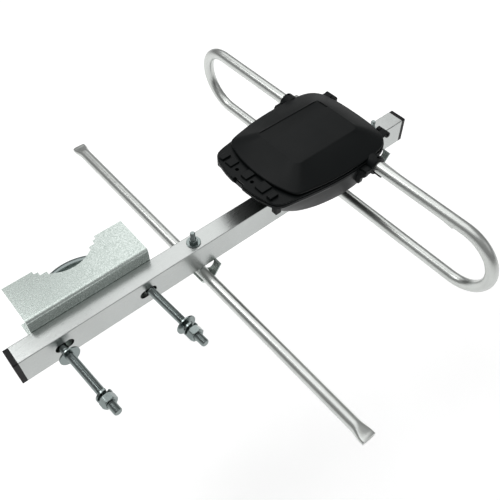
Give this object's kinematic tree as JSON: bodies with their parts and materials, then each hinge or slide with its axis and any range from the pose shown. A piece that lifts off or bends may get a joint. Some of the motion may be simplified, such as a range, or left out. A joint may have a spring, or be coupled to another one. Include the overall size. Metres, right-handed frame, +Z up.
{
  "type": "yagi antenna",
  "caption": "Yagi antenna: rectangular boom, reflector, folded dipole feeding a black junction box, director, and a U-bolt clamp with a stepped bracket for a mast.",
  "frame": {"origin": "axis of a 50 mm mast held in the stepped bracket, level with the boom's centre line", "axes": "+X along the boom from the mast clamp towards the director, +Y away from the boom on the mast's side, +Z up, the junction box's side"},
  "size_m": [0.48, 0.461, 0.1044],
  "materials": {
    "boom_aluminium": "brushed along its length",
    "tube_aluminium": "drawn, satin",
    "galvanised_steel": "hot-dip galvanised, spangled",
    "zinc_steel": "zinc plated",
    "black_plastic": "moulded, matte",
    "box_plastic": "moulded, fine texture",
    "board_green": "solder mask",
    "terminal_brass": "turned",
    "grommet_rubber": "moulded"
  },
  "bodies": {
    "boom_body": {"boom": "boom_aluminium", "rear_end_cap": "black_plastic", "front_end_cap": "black_plastic", "dipole_loop": "tube_aluminium", "dipole_clip": "galvanised_steel", "reflector_bolt": "zinc_steel", "dipole_bolt": "zinc_steel", "director_bolt": "zinc_steel", "element_washers": "zinc_steel", "element_nuts": "zinc_steel", "box_base": "box_plastic", "matching_board": "board_green", "terminal_screws": "terminal_brass", "terminal_nuts": "zinc_steel", "cable_grommet": "grommet_rubber"},
    "bracket_body": {"mast_bracket": "galvanised_steel"},
    "u_bolt_body": {"u_bolt": "zinc_steel"},
    "loose_washer_body": {"loose_flat_washer": "zinc_steel"},
    "rear_washer_body": {"spring_washer_rear": "zinc_steel"},
    "rear_nut_body": {"clamp_nut_rear": "zinc_steel"},
    "front_washer_body": {"flat_washer": "zinc_steel", "spring_washer_front": "zinc_steel"},
    "front_nut_body": {"clamp_nut_front": "zinc_steel"},
    "reflector_body": {"reflector": "tube_aluminium", "reflector_clip": "galvanised_steel"},
    "director_body": {"director": "tube_aluminium", "director_clip": "galvanised_steel"},
    "cover_body": {"box_cover": "box_plastic"}
  },
  "joints": [
    {"name": "bracket_slide", "type": "slide", "parent": "boom_body", "child": "bracket_body", "axis": [0, 1, 0], "range_m": [0, 0.006]},
    {"name": "u_bolt_slide", "type": "slide", "parent": "boom_body", "child": "u_bolt_body", "axis": [-0.0558, 0.9984, 0], "range_m": [-0.004, 0.03]},
    {"name": "loose_washer_slide", "type": "slide", "parent": "boom_body", "child": "loose_washer_body", "axis": [-0.0558, 0.9984, 0], "range_m": [-0.014, 0.007]},
    {"name": "rear_nut_travel", "type": "slide", "parent": "u_bolt_body", "child": "rear_washer_body", "axis": [-0.0558, 0.9984, 0], "range_m": [-0.008, 0.02]},
    {"name": "rear_nut_turn", "type": "hinge", "parent": "rear_washer_body", "child": "rear_nut_body", "pos_m": [-0.04225, -0.13695, 0], "axis": [-0.0558, 0.9984, 0], "range_deg": [-2320, 5800]},
    {"name": "front_nut_travel", "type": "slide", "parent": "u_bolt_body", "child": "front_washer_body", "axis": [-0.0558, 0.9984, 0], "range_m": [-0.008, 0.018]},
    {"name": "front_nut_turn", "type": "hinge", "parent": "front_washer_body", "child": "front_nut_body", "pos_m": [0.0496, -0.13182, 0], "axis": [-0.0558, 0.9984, 0], "range_deg": [-2320, 5220]},
    {"name": "reflector_swivel", "type": "hinge", "parent": "boom_body", "child": "reflector_body", "pos_m": [0.104, -0.0615, -0.0212], "axis": [0, 0, 1], "range_deg": [-6, 6]},
    {"name": "director_swivel", "type": "hinge", "parent": "boom_body", "child": "director_body", "pos_m": [0.3485, -0.0615, -0.0212], "axis": [0, 0, 1], "range_deg": [-6, 6]},
    {"name": "cover_hinge", "type": "hinge", "parent": "boom_body", "child": "cover_body", "pos_m": [0.317, -0.0615, 0.0556], "axis": [0, 1, 0], "range_deg": [0, 100]}
  ],
  "couplings": [
    {"joint": "rear_nut_turn", "follows": "rear_nut_travel", "rad_per_m": 5026.5},
    {"joint": "front_nut_turn", "follows": "front_nut_travel", "rad_per_m": 5026.5}
  ]
}
